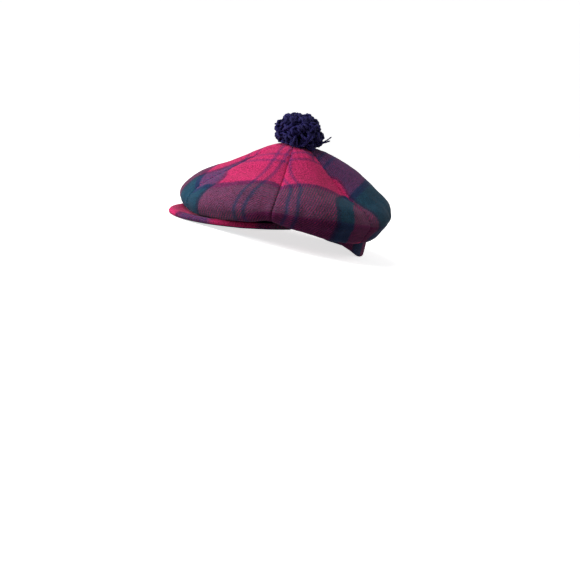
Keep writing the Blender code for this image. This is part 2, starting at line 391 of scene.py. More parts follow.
def crown_sections(angle):
    """Middle, reach and height of every section at an angle, down to the sewn edge."""
    rows = []
    for _, middle, *sizes in CROWN:
        rows.append((middle * MM, by_side(angle, *sizes[:3]) * MM, by_side(angle, *sizes[3:]) * MM))
    fold_middle, *fold_sizes = LOWER_FOLD
    rows.append((fold_middle * MM, by_side(angle, *fold_sizes) * MM, edge_height(FOLD_EDGE, angle)))
    sewn_reach = oval(angle, BAND_HALF_WIDTH, BAND_HALF_LENGTH) + SEWN_EASE
    rows.append((0.0, sewn_reach, edge_height(BAND_EDGE, angle) + BAND_HEIGHT + GAP))
    return np.array(rows)


print("sections down to the sewn edge:", len(crown_sections(0)))

# %% Crown line
CROWN_ROWS = 168
STEPS = np.linspace(0, len(CROWN) + 1, CROWN_ROWS)
FULLNESS = np.sin(np.pi * np.clip((STEPS - 1) / len(CROWN), 0, 1))


def crown_line(angle):
    """The crown's outer line at one angle: middle, reach and height, and its outward normal."""
    line = line_through(crown_sections(angle), STEPS)
    along = np.gradient(line[:, 1:], axis=0)
    along /= np.linalg.norm(along, axis=1)[:, None]
    normal = np.stack((-along[:, 1], along[:, 0]), axis=1)
    to_seam = abs((angle + PITCH / 2) % PITCH - PITCH / 2)
    valley = SEAM_VALLEY * near(math.radians(to_seam) * line[:, 1], SEAM_VALLEY_WIDTH)
    puff = GORE_PUFF * math.sin(math.pi * to_seam / PITCH)
    dip = SIDE_DIP * near(from_front(angle) - SIDE_DIP_ANGLE, SIDE_DIP_SPREAD)
    upper = np.sin(np.pi * np.clip((STEPS - 1) / DIP_SECTIONS, 0, 1))
    line[:, 1:] += normal * (FULLNESS * (puff - valley - dip * upper))[:, None]
    return line, normal


side_line, _ = crown_line(90)
print("cloth from pompom to band at the side:", round(length_along(side_line[:, 1:])[-1] / MM), "mm")

# %% [markdown]
# ## Folds and seams
#
# What makes sewn wool look sewn is small: the edges roll down into each seam, the turned
# allowances lift a soft ridge beside it, the thread draws tiny puckers, the cloth is gathered a
# little under the pompom, its wall has a few soft upright folds, and it has slow dents where it
# was handled. Each is a few tenths of a millimetre to two millimetres deep. A cloth simulation
# would make folds of its own, but the crown would fall in, and lose the full form that it has
# when it is worn. So the folds are formulas that move the surface along its normal.

# %% Seam and fold sizes
SEAM_ROLL = 1.3 * MM
SEAM_ROLL_WIDTH = 0.9 * MM
SEAM_OVERLAP = 0.12 * MM
OVERLAP_POWER = 40
ALLOWANCE_RIDGE = 0.25 * MM
ALLOWANCE_MIDDLE = 4.2 * MM
ALLOWANCE_SPREAD = 2.2 * MM
PUCKER = 0.35 * MM
PUCKER_LENGTH = 9 * MM
PUCKER_WIDTH = 7 * MM
WANDER = 1.7
WANDER_LENGTH = 31 * MM
CALM_WIDTH = 6 * MM
DENT = 1.9 * MM
DENT_SIZE = 34 * MM
RIPPLE = 0.5 * MM
RIPPLE_SIZE = 12 * MM
TOP_GATHER = 0.45 * MM
TOP_GATHER_LENGTH = 6.5 * MM
TOP_GATHER_REACH = 42 * MM
WALL_FOLD = 1.3 * MM
WALL_FOLD_WIDTH = 15 * MM
WALL_FOLD_LENGTH = 75 * MM
WALL_FOLD_MIDDLE = 140 * MM
WALL_FOLD_SPREAD = 34 * MM
DENT_PLACE = Vector((0, 1.7, 0.3))
DENT_STEP = Vector((3.1, 0, 0))
WALL_FOLD_STEP = 2.3
print("a seam's edges roll down by", SEAM_ROLL / MM, "mm")


# %% Folds
def noise_over(grid, size, offset):
    """Slow noise at each point of a grid, with bumps of about the size."""
    values = [noise.noise(Vector(point) / size + offset) for point in grid.reshape(-1, 3)]
    return np.reshape(values, grid.shape[:2])


def folds(points, to_seam, across, down, seed):
    """How far the cloth stands out at each point, beside its seams and in its dents."""
    push = -SEAM_ROLL * near(to_seam, SEAM_ROLL_WIDTH)
    push += ALLOWANCE_RIDGE * near(to_seam - ALLOWANCE_MIDDLE, ALLOWANCE_SPREAD)
    wander = WANDER * np.sin(down / WANDER_LENGTH + seed)
    pucker = np.sin(2 * math.pi * down / PUCKER_LENGTH + wander)
    push += PUCKER * near(to_seam, PUCKER_WIDTH) * pucker
    offset = DENT_PLACE + DENT_STEP * seed
    calm = 1 - near(to_seam, CALM_WIDTH)
    push += calm * DENT * noise_over(points, DENT_SIZE, offset)
    push += calm * RIPPLE * noise_over(points, RIPPLE_SIZE, offset)
    gather = np.sin(2 * math.pi * across / TOP_GATHER_LENGTH + wander)
    push += TOP_GATHER * near(down, TOP_GATHER_REACH) * gather
    gore_place = np.full(down.shape, seed * WALL_FOLD_STEP)
    upright = np.stack((across / WALL_FOLD_WIDTH, down / WALL_FOLD_LENGTH, gore_place), axis=-1)
    upright = noise_over(upright, 1, Vector()) * near(down - WALL_FOLD_MIDDLE, WALL_FOLD_SPREAD)
    push += WALL_FOLD * upright * calm
    return push


print("dents are", DENT / MM, "mm deep and about", round(DENT_SIZE / MM), "mm apart")

# %% [markdown]
# ## A wall of cloth
#
# Every cloth piece is one closed wall between two grids of points, its outer and its inner side.
# A Solidify modifier could thicken a single sheet, but the two faces of the peak are cut from
# different parts of the check, so both sides are laid here. The grids also carry two maps. Cloth
# is the plain distance along and across the threads, which the weave follows. Check is the place
# in the tartan's repeat, which differs where a piece was cut from another part of the bolt, or
# was pulled a little while it was sewn.


# %% Faces of a wall
def grid_faces(rows, columns, ring, start=0, flip=False):
    """Faces between the points of a grid whose first point has the number start."""
    around = columns if ring else columns - 1
    row, column = np.meshgrid(np.arange(rows - 1), np.arange(around), indexing="ij")
    after = (column + 1) % columns
    corners = (row * columns + column, row * columns + after, (row + 1) * columns + after)
    faces = np.stack((*corners, (row + 1) * columns + column), axis=-1).reshape(-1, 4) + start
    return faces[:, ::-1] if flip else faces


def rim_faces(rows, columns, ring):
    """Faces that close the edges between an outer and an inner grid."""
    count = rows * columns
    rim = []
    for row in (0, rows - 1):
        for column in range(columns if ring else columns - 1):
            a = row * columns + column
            b = row * columns + (column + 1) % columns
            rim.append((a, b, b + count, a + count) if row else (b, a, a + count, b + count))
    if ring:
        return np.array(rim)
    for column in (0, columns - 1):
        for row in range(rows - 1):
            a = row * columns + column
            b = a + columns
            rim.append((b, a, a + count, b + count) if column else (a, b, b + count, a + count))
    return np.array(rim)


print("a grid of 3 x 4 points has", len(grid_faces(3, 4, False)), "faces")

# %% Cloth wall
SHARP_ANGLE = math.radians(60)


def lay_map(mesh, name, values):
    """A UV map from one pair of values for each point."""
    corner_points = np.zeros(len(mesh.loops), int)
    mesh.loops.foreach_get("vertex_index", corner_points)
    layer = mesh.uv_layers.new(name=name)
    layer.uv.foreach_set("vector", values[corner_points].ravel())


def cloth_wall(name, outer, inner, cloth, check, look, ring=False, check_inside=None):
    """A closed wall from two grids, with its maps given at each point of the outer grid."""
    rows, columns = outer.shape[:2]
    outside = grid_faces(rows, columns, ring)
    inside = grid_faces(rows, columns, ring, rows * columns, True)
    faces = np.concatenate((outside, inside, rim_faces(rows, columns, ring)))
    points = np.concatenate((outer.reshape(-1, 3), inner.reshape(-1, 3)))
    mesh = bpy.data.meshes.new(name)
    mesh.from_pydata(points.tolist(), [], faces.tolist())
    check_inside = check if check_inside is None else check_inside
    for map_name, sides in (("Cloth", (cloth, cloth)), ("Check", (check, check_inside))):
        lay_map(mesh, map_name, np.concatenate([side.reshape(-1, 2) for side in sides]))
    mesh.validate()
    shape = bmesh.new()
    shape.from_mesh(mesh)
    bmesh.ops.recalc_face_normals(shape, faces=shape.faces)
    shape.to_mesh(mesh)
    shape.free()
    mesh.shade_smooth()
    mesh.set_sharp_from_angle(angle=SHARP_ANGLE)
    mesh.materials.append(look)
    return add_object(name, mesh)


def stand_for(piece, node):
    """The piece rides with the cap and takes a solid's place."""
    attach(piece, "root")
    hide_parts(node)


print("edges sharper than", round(math.degrees(SHARP_ANGLE)), "degrees stay crisp")

# %% [markdown]
# ## Shader maths in plain Python
#
# A material is a small program. It could be laid out node by node, but it soon becomes a tangle.
# So one class wraps a socket and lets ordinary operators add the Math nodes, and a second class
# holds the material, with one method that adds any node. Colours and vectors are mixed by their
# own nodes, because a Math node would turn a colour grey.


# %% Wire
class Wire:
    """A socket whose operators add Math nodes."""

    def __init__(self, graph, socket):
        self.graph = graph
        self.socket = socket

    def math(self, operation, *others):
        return self.graph.add("ShaderNodeMath", {"operation": operation}, [self, *others])

    def __add__(self, other):
        return self.math("ADD", other)

    def __sub__(self, other):
        return self.math("SUBTRACT", other)

    def __mul__(self, other):
        return self.math("MULTIPLY", other)

    def __truediv__(self, other):
        return self.math("DIVIDE", other)

    def __radd__(self, other):
        return self.math("ADD", other)

    def __rmul__(self, other):
        return self.math("MULTIPLY", other)

    def __rsub__(self, other):
        return self.math("MULTIPLY", -1.0).math("ADD", other)


print("a wire takes the signs + - * and /")


# %% Graph
class Graph:
    """The nodes of one material, with a Principled shader to feed."""

    def __init__(self, name):
        self.material = bpy.data.materials.new(name)
        self.material.use_nodes = True
        self.tree = self.material.node_tree
        self.shader = self.tree.nodes["Principled BSDF"]

    def add(self, kind, settings=None, inputs=None, output=0):
        """Adds a node: its settings first, then its sockets by place or name."""
        node = self.tree.nodes.new(kind)
        for key, value in (settings or {}).items():
            if key == "stops":
                self.set_stops(node.color_ramp, value)
            else:
                setattr(node, key, value)
        pairs = inputs.items() if isinstance(inputs, dict) else enumerate(inputs or [])
        for key, value in pairs:
            self.feed(node.inputs[key], value)
        return Wire(self, node.outputs[output])

    def set_stops(self, ramp, stops):
        ramp.interpolation = "CONSTANT"
        while len(ramp.elements) < len(stops):
            ramp.elements.new(0.5)
        for element, (position, colour) in zip(ramp.elements, stops):
            element.position = position
            element.color = colour

    def feed(self, socket, value):
        if isinstance(value, Wire):
            self.tree.links.new(value.socket, socket)
        else:
            socket.default_value = value

    def mix(self, share, first, second):
        """A colour between two colours. The Mix node's colour sockets go by their places."""
        settings = {"data_type": "RGBA"}
        return self.add("ShaderNodeMix", settings, {0: share, 6: first, 7: second}, output=2)

    def tint(self, colour, by):
        """A colour made lighter or darker by a factor."""
        return self.add("ShaderNodeVectorMath", {"operation": "SCALE"}, {0: colour, "Scale": by})

    def noise(self, at, scale, detail=2.0, stretch=(1, 1, 1)):
        """Smooth noise from 0 to 1 at a place, scale in cycles for each metre."""
        moved = self.add("ShaderNodeMapping", None, {"Vector": at, "Scale": stretch})
        sockets = {"Vector": moved, "Scale": scale, "Detail": detail}
        return self.add("ShaderNodeTexNoise", None, sockets)

    def part(self, at, name):
        """One number, X, Y or Z, of a place."""
        return self.add("ShaderNodeSeparateXYZ", None, [at], name)

    def sockets(self, **values):
        """Sets or feeds the shader's own sockets."""
        for name, value in values.items():
            self.feed(self.shader.inputs[name.replace("_", " ")], value)


print("a graph's methods:", ", ".join(name for name in vars(Graph) if name[0] != "_"))

# %% [markdown]
# ## The tartan
#
# Tartan is made on the loom: coloured stripes run down and across, and in a twill each thread
# passes over two and under two, one step on in every row. So the cloth shows diagonal lines, one
# of the down thread's colour and one of the across thread's. Where both are crimson it is pure
# crimson, and where crimson crosses moss the eye mixes them to a brownish mauve. The wide green
# stripes are a bluer teal in the down threads and a duller moss in the across threads, as they
# look on the real cloth. A picture of cloth could be wrapped round the cap, but it would blur and
# stretch. This material does what the loom does: two ramps pick the colours and a diagonal wave
# picks the thread.

# %% Tartan stripes
CRIMSON = (0.47, 0.018, 0.105, 1)
NAVY = (0.014, 0.009, 0.048, 1)
TEAL = (0.004, 0.042, 0.100, 1)
MOSS = (0.010, 0.046, 0.058, 1)
VIOLET = (0.075, 0.016, 0.092, 1)
WARP = (
    # yarn, width in mm
    (VIOLET, 4.4),
    (CRIMSON, 8),
    (VIOLET, 4.4),
    (CRIMSON, 45),
    (NAVY, 6),
    (TEAL, 21),
    (CRIMSON, 46),
    (NAVY, 6),
    (TEAL, 90),
    (NAVY, 6),
    (CRIMSON, 54),
)
WEFT = (
    # yarn, width in mm
    (CRIMSON, 46),
    (VIOLET, 3.2),
    (CRIMSON, 9.2),
    (VIOLET, 3.2),
    (CRIMSON, 45.2),
    (NAVY, 9),
    (MOSS, 53),
    (NAVY, 40),
)
BLEND_DEPTH = 2.7


def blending(colour):
    """A colour as it is mixed: threads shade each other, so two colours blend darker than paint."""
    return tuple(part ** (1 / BLEND_DEPTH) for part in colour[:3]) + (1,)


def repeat_of(stripes):
    return sum(width for _, width in stripes) * MM


def stripe_stops(stripes):
    """A ramp's stops: where each stripe starts in the repeat, and its colour."""
    stops, at = [], 0.0
    for yarn, width in stripes:
        stops.append((at * MM / repeat_of(stripes), blending(yarn)))
        at += width
    return stops


print("the check repeats every", round(repeat_of(WARP) / MM), "x", round(repeat_of(WEFT) / MM), "mm")

# %% Stripes as nodes
NAP_SCALE = 1300
NAP_REACH = 15 * MM
WAVER_SCALE = 160
WAVER = 0.8 * MM


def stripes(g, cloth, check):
    """The colours of the down and the across thread, with the soft edges that the nap gives."""
    nap = g.noise(cloth, NAP_SCALE, 3.0) - 0.5
    strayed = (g.noise(cloth, WAVER_SCALE) - 0.5) * WAVER + nap * NAP_REACH
    colours = []
    for axis, yarns in (("X", WARP), ("Y", WEFT)):
        share = ((g.part(check, axis) + strayed) / repeat_of(yarns)).math("FRACT")
        colours.append(g.add("ShaderNodeValToRGB", {"stops": stripe_stops(yarns)}, [share]))
    return colours


print("the nap carries a colour up to", round(NAP_REACH / 2 / MM, 1), "mm over a stripe's edge")

# %% Twill as nodes
TWILL_PITCH = 3.4 * MM
TWILL_SLOPE = 0.6
TWILL_SLIP = 0.7
TWILL_SLIP_SCALE = 300
TWILL_EDGES = {"From Min": 0.3, "From Max": 0.7}
BARE_SCALE = 110
BARE_RANGE = 1.1
BARE_LEAST = -0.22
DARK_SHARE = 0.1


def twill(g, cloth):
    """The diagonal wave, and the across thread's share on top, clearest where the nap is bare."""
    slip = (g.noise(cloth, TWILL_SLIP_SCALE) - 0.5) * TWILL_SLIP
    slanted = (g.part(cloth, "X") + g.part(cloth, "Y") * TWILL_SLOPE) / TWILL_PITCH
    wave = ((slanted + slip).math("FRACT") - 0.5).math("ABSOLUTE") * 2
    smooth = {"interpolation_type": "SMOOTHSTEP"}
    over = g.add("ShaderNodeMapRange", smooth, {"Value": wave, **TWILL_EDGES})
    bare = g.noise(cloth, BARE_SCALE, 3.0) * BARE_RANGE + BARE_LEAST
    return wave, (over - 0.5) * bare + 0.5


def woven(g, over, warp, weft):
    """The two threads' colours, mixed as the twill shows them. The darker one shows a bit more."""
    warp_red = g.add("ShaderNodeSeparateColor", None, [warp])
    weft_red = g.add("ShaderNodeSeparateColor", None, [weft])
    share = over + (warp_red - weft_red) * DARK_SHARE
    mixed = g.mix(share.math("MINIMUM", 1.0).math("MAXIMUM", 0.0), warp, weft)
    return g.add("ShaderNodeGamma", None, {"Color": mixed, "Gamma": BLEND_DEPTH})


print("the twill's lines are", round(TWILL_PITCH / MM, 1), "mm apart")

# %% Wool surface
THREAD_SCALE = 900
THREAD_STRETCH = 0.08
THREAD_LIGHT = 0.8
HEATHER_SCALE = 600
HEATHER_LIGHT = 3.0
BASE_LIGHT = 0.98
MOTTLES = (
    # cycles for each metre, strength
    (28, 0.8),
    (210, 0.7),
)
FUZZ_SCALE = 800
FUZZ_EDGES = {"From Min": 0.56, "From Max": 0.75}
FUZZ_LIGHT = 0.5
FUZZ_SHARE = 0.13
FUZZ_COLOUR = (0.22, 0.14, 0.18, 1)


def threads(g, cloth, over):
    """Streaks along whichever thread is on top."""
    threads_down = g.noise(cloth, THREAD_SCALE, 2.0, (1, THREAD_STRETCH, 1))
    threads_across = g.noise(cloth, THREAD_SCALE, 2.0, (THREAD_STRETCH, 1, 1))
    return g.mix(over, threads_down, threads_across)


def wool_light(g, cloth, streak, heather):
    """How light the wool is at each place."""
    light = BASE_LIGHT + (streak - 0.5) * THREAD_LIGHT + (heather - 0.5) * HEATHER_LIGHT
    for scale, strength in MOTTLES:
        light = light + (g.noise(cloth, scale, 3.0) - 0.5) * strength
    return light


def wool_fuzz(g, cloth):
    """Specks where loose pale fibres stand up."""
    specks = g.noise(cloth, FUZZ_SCALE, 5.0)
    return g.add("ShaderNodeMapRange", None, {"Value": specks, **FUZZ_EDGES})


print("loose fibres lighten the wool by up to", round(FUZZ_LIGHT * 100), "percent")

# %% Tartan material
TWILL_RELIEF = 1.6
THREAD_RELIEF = 0.5
HEATHER_RELIEF = 0.5
WOOL_RELIEF = {"Strength": 0.55, "Distance": 0.4 * MM}


def tartan_wool():
    g = Graph("tartan wool twill")
    cloth = g.add("ShaderNodeUVMap", {"uv_map": "Cloth"})
    check = g.add("ShaderNodeUVMap", {"uv_map": "Check"})
    warp, weft = stripes(g, cloth, check)
    wave, over = twill(g, cloth)
    streak = threads(g, cloth, over)
    heather = g.noise(cloth, HEATHER_SCALE, 5.0)
    fuzz = wool_fuzz(g, cloth)
    light = wool_light(g, cloth, streak, heather) + fuzz * FUZZ_LIGHT
    colour = g.tint(woven(g, over, warp, weft), light)
    colour = g.mix(fuzz * FUZZ_SHARE, colour, FUZZ_COLOUR)
    relief = wave * (1 - wave) * TWILL_RELIEF + streak * THREAD_RELIEF + heather * HEATHER_RELIEF
    bump = g.add("ShaderNodeBump", None, {**WOOL_RELIEF, "Height": relief})
    g.sockets(Base_Color=colour, Normal=bump, Roughness=0.93 - fuzz * 0.1)
    g.sockets(Sheen_Weight=0.05, Sheen_Roughness=0.5, Sheen_Tint=(1.0, 0.85, 0.9, 1))
    g.sockets(Specular_IOR_Level=0.08)
    return g.material


tartan = tartan_wool()
print("tartan nodes:", len(tartan.node_tree.nodes))

# %% [markdown]
# ## The six gores
#
# Each gore is cut with its grain down its middle, so the check runs straight down there and
# meets the seams at a slant. Blender could unwrap the crown, but it knows nothing of grain, so
# the flat pattern is worked out. Flattened, a gore is a slice of a cone: a point beside the middle
# lies a little further up the cloth than its height says. The table says where in the check each
# gore was cut, and how sewing pulled it: lean curves the stripes towards the top, bow and slant
# bend and tilt the cross stripes, stretch is how much longer the check came out, pull moves the
# stripes of one half sideways at one height, and fan spreads those of the other half.

# %% Gore table
GORE_TABLE = (
    # name, across, down, direction, lean, bow, stretch, slant, pull, pull down, fan
    ("front_left", -20.8, 13.0, 1, 16.0, 8.0, 1.12, 0.3, 13, 108, 0),
    ("left", 54.5, 19.5, 1, -16.0, 0.0, 1.0, 0.08, 9, 98, 30),
    ("back_left", 188.0, 15.0, 1, 0.0, 0.0, 1.0, 0.0, 19, 68, 0),
    ("back_right", 60.0, 20.0, -1, 6.0, 0.0, 1.0, 0.05, 0, 98, 0),
    ("right", 40.0, 16.0, -1, -8.0, 0.0, 1.0, -0.05, 4, 98, 20),
    ("front_right", -20.0, 12.0, -1, -8.0, 0.0, 1.0, -0.35, 0, 98, 0),
)
GORE_COLUMNS = 84
SEAM_CROWDING = 0.6
SMOOTHED_ROWS = 8
BOW_REACH = 40 * MM
BOW_FULL = 90 * MM
LEAN_FROM = 150 * MM
LEAN_OVER = 105 * MM
PULL_SPREAD = 20 * MM
PULL_EDGE = 40 * MM
FAN_FROM = 130 * MM
FAN_OVER = 50 * MM
FAN_EDGE = 20 * MM
print("gores:", ", ".join(row[0] for row in GORE_TABLE))


# %% Gore shape
def column_shares(count):
    """Shares from seam to seam, -1 to 1, closer together towards the seams."""
    even = np.linspace(-1, 1, count)
    return SEAM_CROWDING * np.sin(even * math.pi / 2) + (1 - SEAM_CROWDING) * even


def flat_places(points, shares):
    """Where each point of a gore lies once it is laid flat: across from its middle, and down."""
    down = length_along(points[:, GORE_COLUMNS // 2])
    half = np.linalg.norm(np.diff(points, axis=1), axis=2).sum(axis=1) / 2
    window = 2 * SMOOTHED_ROWS + 1
    spread = np.pad(np.gradient(half, down), SMOOTHED_ROWS, mode="edge")
    spread = np.convolve(spread, np.ones(window) / window, "valid")
    flat_down = down[:, None] - 0.5 * (half * spread)[:, None] * shares**2
    return np.stack((half[:, None] * shares, flat_down), axis=-1)


def gore_grids(first_seam, seed):
    """Outer and inner grids of one gore, and its flat places across and down in metres."""
    shares = column_shares(GORE_COLUMNS)
    smooth, outward, to_seam = [], [], []
    for share in shares:
        angle = first_seam + PITCH * (share + 1) / 2
        turn = math.radians(angle)
        line, normal = crown_line(angle)
        ahead = np.array((math.sin(turn), -math.cos(turn)))
        sideways = np.array((math.cos(turn), math.sin(turn), 0))
        lap = share * SEAM_OVERLAP * abs(share) ** OVERLAP_POWER
        smooth.append(np.array([place(angle, *row) for row in line]) + sideways * lap)
        outward.append(np.column_stack((normal[:, :1] * ahead, normal[:, 1])))
        to_seam.append(math.radians(PITCH / 2 * (1 - abs(share))) * line[:, 1])
    smooth = np.array(smooth).transpose(1, 0, 2)
    outward = np.array(outward).transpose(1, 0, 2)
    flat = flat_places(smooth, shares)
    push = folds(smooth, np.array(to_seam).T, flat[..., 0], flat[..., 1], seed)
    outer = smooth + outward * (np.sqrt(FULLNESS)[:, None] * push)[..., None]
    return outer, outer - outward * CLOTH, flat


print("columns are", round(column_shares(GORE_COLUMNS)[1] + 1, 4), "of a half gore apart at a seam")


# %% Gore check
def gore_check(flat, across_cut, down_cut, way, lean, bow, stretch, slant, pull, pull_down, fan):
    """Where in the check's repeat each point of a gore lies, from its row of the table."""
    across, down = flat[..., 0], flat[..., 1]
    leaning = lean * MM * (np.clip(LEAN_FROM - down, 0, None) / LEAN_OVER) ** 2
    first_half = np.clip(0.5 - across / PULL_EDGE, 0, 1)
    pulled = pull * MM * near(down - pull_down * MM, PULL_SPREAD) * first_half
    second_half = np.clip(0.5 + across / FAN_EDGE, 0, 1)
    fanned = fan * MM * np.clip((FAN_FROM - down) / FAN_OVER, 0, 1) ** 2 * second_half
    arch = np.clip(1 - (across / BOW_REACH) ** 2, 0, 1)
    bent = bow * MM * arch * np.clip(down / BOW_FULL, 0, 1)
    straight = across * way + across_cut * MM + leaning - pulled - fanned
    level = (down - bent) / stretch + slant * across + down_cut * MM
    return np.stack((straight, level), axis=-1)


def make_gores():
    made = []
    for index, (name, *cut) in enumerate(GORE_TABLE):
        outer, inner, flat = gore_grids(index * PITCH, index + 1)
        piece = cloth_wall(f"cloth_gore_{name}", outer, inner, flat, gore_check(flat, *cut), tartan)
        stand_for(piece, f"gore_{name}")
        made.append(piece)
    return made


gores = make_gores()
print("gores:", len(gores), "faces each:", len(gores[0].data.polygons))

# %% [markdown]
# ## The head band
#
# The band is a strip of the same cloth, folded at its lower edge and sewn to the crown inside.
# It is an oval, and its lower edge is arched at both sides. A curve with a bevel could make it,
# but a closed ring of the cloth wall also carries the maps that the tartan needs. Its lower edge
# is rounded, as a fold of thick wool is.

# %% Band
BAND_COLUMNS = 260
BAND_CUT = (-143, 206)
BAND_PROFILE = (
    # depth into the wall, height, as shares of the thickness and of the band's height
    (0.0, 1.0),
    (0.0, 0.75),
    (0.0, 0.5),
    (0.0, 0.25),
    (0.02, 0.1),
    (0.15, 0.03),
    (0.35, 0.0),
)


def band_side(inside):
    """A grid of one side of the band, from its sewn edge down."""
    grid = []
    for depth, rise in BAND_PROFILE:
        cut = (1 - depth if inside else depth) * BAND_THICKNESS
        row = []
        for column in range(BAND_COLUMNS):
            angle = column * 360 / BAND_COLUMNS
            reach = oval(angle, BAND_HALF_WIDTH - cut, BAND_HALF_LENGTH - cut)
            row.append(place(angle, 0, reach, edge_height(BAND_EDGE, angle) + rise * BAND_HEIGHT))
        grid.append(row)
    return np.array(grid)


def make_band():
    outer, inner = band_side(False), band_side(True)
    cloth = np.zeros((*outer.shape[:2], 2))
    cloth[..., 0] = length_along(outer[0])
    cloth[..., 1] = -outer[..., 2]
    check = cloth + np.array(BAND_CUT) * MM
    return cloth_wall("cloth_band", outer, inner, cloth, check, tartan, ring=True)


band = make_band()
stand_for(band, "band")
print("band faces:", len(band.data.polygons))

# %% [markdown]
# ## The peak
#
# The peak is a stiff crescent in the same cloth. Its outer edge is padded and stands up round,
# which is the only part that shows under the crown's fold. It could be cut from a flat sheet and
# bent by a modifier, but its root follows the band and its edge another curve. So each point is
# placed on a straight line between the two. The under face is cut from a darker part of the check.

# %% Peak sizes
PEAK_HALF_ANGLE = 67
PEAK_HALF_WIDTH = 79.5 * MM
PEAK_TIP = 157.5 * MM
PEAK_END_MIDDLE = 36 * MM
PEAK_TIP_DROP = 0.8 * MM
PEAK_EDGE_RISE = 20.0 * MM
PEAK_FLAT_ANGLE = 5
PEAK_RISE_POWER = 1.9
PEAK_ARCH = 1.0 * MM
PEAK_PROFILE = (
    # share of the way out, height of the under face and of the top face
    (0.0, 0.0, 5.6),
    (0.33, 0.0, 5.6),
    (0.66, 0.0, 5.8),
    (0.86, 0.1, 7.6),
    (0.96, 0.9, 7.2),
    (1.0, 3.8, 3.8),
)
PEAK_COLUMNS = 200
PEAK_ROWS = 60
print("the peak sticks out", round((PEAK_TIP - BAND_HALF_LENGTH) / MM, 1), "mm")


# %% Peak shape
def peak_point(along, across, height):
    """A point of the peak: along -1 to 1 from end to end, across 0 at the band to 1 at the edge."""
    root_angle = along * PEAK_HALF_ANGLE
    root_reach = oval(root_angle, BAND_HALF_WIDTH + GAP, BAND_HALF_LENGTH + GAP)
    root = place(root_angle, 0, root_reach, edge_height(BAND_EDGE, root_angle))
    sweep = along * 90
    rise = max(0, (abs(sweep) - PEAK_FLAT_ANGLE) / (90 - PEAK_FLAT_ANGLE))
    turn = math.radians(sweep)
    edge = np.array(
        (
            PEAK_HALF_WIDTH * math.sin(turn),
            BAND_MIDDLE - PEAK_END_MIDDLE - (PEAK_TIP - PEAK_END_MIDDLE) * math.cos(turn),
            PEAK_EDGE_RISE * rise**PEAK_RISE_POWER - PEAK_TIP_DROP,
        )
    )
    point = root + (edge - root) * across
    point[2] += PEAK_ARCH * math.sin(math.pi * across) * math.cos(turn) + height * MM
    return point


def peak_sides():
    """Grids of the top and the under face, from the band to the rounded edge."""
    table = np.array(PEAK_PROFILE)
    profile = line_through(table, np.linspace(0, len(table) - 1, PEAK_ROWS))
    alongs = np.linspace(-1, 1, PEAK_COLUMNS)
    top = [[peak_point(along, out, upper) for along in alongs] for out, _, upper in profile]
    under = [[peak_point(along, out, lower) for along in alongs] for out, lower, _ in profile]
    return np.array(top), np.array(under)


print("the peak's ends stand", round(peak_point(1, 1, 0)[2] / MM, 1), "mm over the floor")

# %% Peak maps and piece
# share and place across, share and place down, in mm
TOP_CUT = (0.69, 53.03, 0.5, 134.0)
UNDER_CUT = (-0.5, 186.0, 0.7, 220.0)
ROLLED_ROW = 50


def peak_check(points, across_share, across_place, down_share, down_place):
    """Where in the check each point lies, from how the cloth was stretched and where it was cut."""
    across = points[..., 0] * across_share + across_place * MM
    return np.stack((across, points[..., 1] * down_share + down_place * MM), axis=-1)


def make_peak():
    """The peak's wall. The top's cloth is rolled round the edge, and the rest is lining."""
    top, under = peak_sides()
    cloth = np.zeros((*top.shape[:2], 2))
    cloth[:, 1:, 0] = np.cumsum(np.linalg.norm(np.diff(top, axis=1), axis=2), axis=1)
    cloth[..., 0] -= cloth[:, -1:, 0] / 2
    cloth[1:, :, 1] = np.cumsum(np.linalg.norm(np.diff(top, axis=0), axis=2), axis=0)
    check = peak_check(top, *TOP_CUT)
    lining = peak_check(top, *UNDER_CUT)
    lining[ROLLED_ROW:] = check[ROLLED_ROW:]
    return cloth_wall("cloth_peak", top, under, cloth, check, tartan, check_inside=lining)


peak = make_peak()
stand_for(peak, "peak")
print("peak faces:", len(peak.data.polygons))

# %% [markdown]
# ## The pompom
#
# The pompom is a bunch of thick, curly two-ply yarn, tied at the middle and seated on the crown.
# Hair particles could make it, but their strands are thin and aren't part of the mesh. So each
# strand is a tube along its own curl. It leaves the heart of the pompom, bends over and curls at
# its end. The tube's section has two lobes that turn as it goes, which is how two plies twist.

# %% Pompom sizes
POMPOM_MIDDLE = np.array((0.0, BAND_MIDDLE - 19 * MM, 129 * MM))
POMPOM_REACH = np.array((31, 31, 23.5)) * MM
POMPOM_SEED = 7
STRANDS = 400
STRAND_STEPS = 30
STRAND_SIDES = 7
STRAYS = (
    # start and end from the pompom's middle, sag and radius, in mm
    ((6, 14, -6), (15.5, 35.5, 0.5), 3.0, 1.0),
    ((10, 24, -6), (14.5, 36.5, 5.5), 1.5, 0.8),
    ((-8, -18, 6), (-13, -30, 3.5), -2.0, 0.9),
)
GOLDEN_TURN = math.radians(137.5)
LOWEST_AIM = -0.75
AIM_SPREAD = 0.12
REACH_RANGE = (0.7, 1.0)
THICKNESS_RANGE = (0.85, 1.15)
HEART = 4 * MM
STEM_SHARE = 0.4
STEM_WAVE = (0.3 * MM, 1.2 * MM)
STEM_WAVES = (0.8, 1.6)
CURL_RADIUS = (2.6 * MM, 5.2 * MM)
CURL_TURN = (0.9, 1.9)
CURL_DRIFT = 1.6 * MM
YARN_RADIUS = 1.55 * MM
TWIST_LENGTH = 7 * MM
PLY_LOBE = 0.24
END_TAPER = (0.45, 0.85, 1.0)
print("the pompom is", round(2 * POMPOM_REACH[0] / MM), "mm wide, with", STRANDS, "strands")


# %% Strand paths
def stray_path(start, end, sag):
    """A loose strand that has slipped out of the bunch, with a gentle bend."""
    share = np.linspace(0, 1, STRAND_STEPS)[:, None]
    bend = np.sin(math.pi * share) * np.array((0, 0, -sag))
    return np.array(start) * (1 - share) + np.array(end) * share + bend


